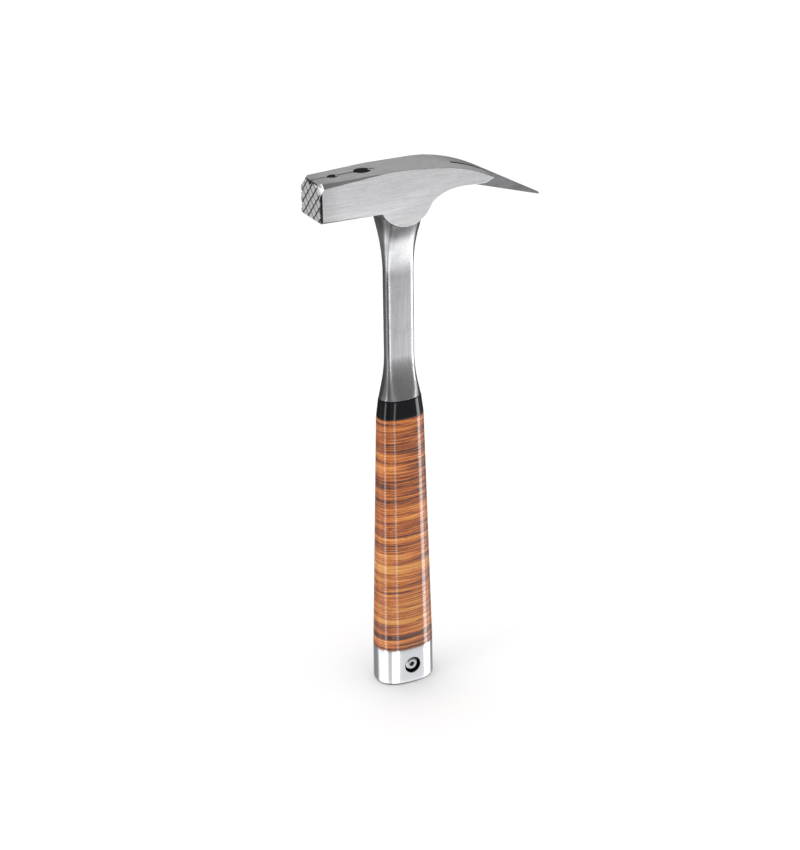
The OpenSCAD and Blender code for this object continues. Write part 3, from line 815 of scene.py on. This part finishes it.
polish, tree, shader, place = new_material("polished_aluminium")
grain = add_noise(tree, place, POLISH_GRAIN, 4.0)
cloud = add_noise(tree, place, POLISH_CLOUD, 2.0)
spot = add_node(tree, "ShaderNodeSeparateXYZ", links={0: place}).outputs
above_screw = add_math(tree, "SUBTRACT", spot["Z"], SCREW_HEIGHT)
from_screw = add_math(tree, "SQRT", add_math(tree, "MULTIPLY_ADD", above_screw, above_screw,
                                             add_math(tree, "MULTIPLY", spot["X"], spot["X"])))
# Painted shade inside the counterbores
in_bore = add_math(tree, "MULTIPLY", rise_between(tree, from_screw, *BORE_SPAN),
                   rise_between(tree, add_math(tree, "ABSOLUTE", spot["Y"]), *BORE_SIDES))
facing = add_node(tree, "ShaderNodeSeparateXYZ",
                  links={0: tree.nodes.new("ShaderNodeNewGeometry").outputs["Normal"]}).outputs
# Painted shade: the flats are darker than the rest of the polish
on_flat = rise_between(tree, add_math(tree, "ABSOLUTE", facing["Y"]), *FLAT_FACING)
colour = mix_colour(tree, grain, CAP_DULL, CAP_BRIGHT)
for mask, paint in ((on_flat, CAP_FLAT_SHADE), (in_bore, BORE_PAINTED_SHADE)):
    colour = mix_colour(tree, mask, colour, paint)
tree.links.new(colour, shader.inputs["Base Color"])
add_roughness(tree, shader, POLISH_ROUGHNESS, (cloud, CLOUD_ROUGHNESS), (grain, GRAIN_ROUGHNESS))
add_relief(tree, shader, grain, *POLISH_RELIEF)
shader.inputs["Metallic"].default_value = 1.0

turn = np.linspace(0.0, np.pi / 2, CAP_CURVE_STEPS)
inset = np.concatenate((CAP_FOOT * (1 - np.sin(turn)), np.zeros(CAP_WALL_STEPS),
                        CAP_BROW * (1 - np.cos(turn))))
straight = np.linspace(CAP_FOOT, cap_high[2] - CAP_BROW, CAP_WALL_STEPS + 2)[1:-1]
rise = np.concatenate((CAP_FOOT * (1 - np.cos(turn)), straight,
                       cap_high[2] - CAP_BROW * (1 - np.sin(turn))))
squareness = CAP_SQUARENESS[0] + (CAP_SQUARENESS[1] - CAP_SQUARENESS[0]) * (rise / cap_high[2])
points, faces = closed_tube([
    np.column_stack((superellipse(cap_high[0] - step, cap_high[1] - step, n, CAP_SEGMENTS),
                     np.full(CAP_SEGMENTS, z))) for step, z, n in zip(inset, rise, squareness)])
cap = new_piece("aluminium_cap", points, faces, polish, ["butt_cap"])
mouth = cap_high[1] + PAST
bore_points, bore_faces = lathe([(BORE_RADIUS, cap_high[1] - BORE_DEPTH),
                                 (BORE_RADIUS, cap_high[1] - BORE_EDGE),
                                 (BORE_RADIUS + BORE_EDGE + PAST, mouth)], BORE_SEGMENTS)
hole_points, hole_faces = lathe([(CROSS_HOLE, -mouth), (CROSS_HOLE, mouth)], HOLE_SEGMENTS)
pocket = superellipse(*TANG_HALF, TANG_SQUARENESS, POCKET_SEGMENTS)
pocket_points, pocket_faces = closed_tube([np.column_stack((pocket, np.full(POCKET_SEGMENTS, z)))
                                           for z in (CAP_FLOOR, cap_high[2] + PAST)])
cut_away(cap, [cutter("near_counterbore", towards_y(bore_points, -1), bore_faces),
               cutter("far_counterbore", towards_y(bore_points, 1), bore_faces),
               cutter("cross_hole", towards_y(hole_points, 1), hole_faces),
               cutter("tang_pocket", pocket_points, pocket_faces)])
cap.data.shade_smooth()
cap.data.set_sharp_from_angle(angle=CAP_CREASE)

# ---------------------------------------------------------------------------------------
# Cross screw and sleeve nut. Button heads with hexagon sockets, turned and zinc plated. The
# screw closes into the nut's thread through the cap and the tang, and both heads sit a
# little below the cap's flats.
ZINC_DARK = (0.20, 0.205, 0.215)
ZINC_LIGHT = (0.42, 0.425, 0.44)
SPANGLE_SIZE = 1300.0
ZINC_ROUGHNESS = 0.12
SPANGLE_ROUGHNESS = 0.20
SPANGLE_RELIEF = 0.10
zinc, tree, shader, place = new_material("zinc_plated_steel")
spangle = add_noise(tree, place, SPANGLE_SIZE, 3.0)
tree.links.new(mix_colour(tree, spangle, ZINC_DARK, ZINC_LIGHT), shader.inputs["Base Color"])
add_roughness(tree, shader, ZINC_ROUGHNESS, (spangle, SPANGLE_ROUGHNESS))
add_relief(tree, shader, spangle, SPANGLE_RELIEF)
shader.inputs["Metallic"].default_value = 1.0
for node_name in ("cap_screw", "sleeve_nut"):
    for slot_of_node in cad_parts[node_name].material_slots:
        slot_of_node.material = zinc
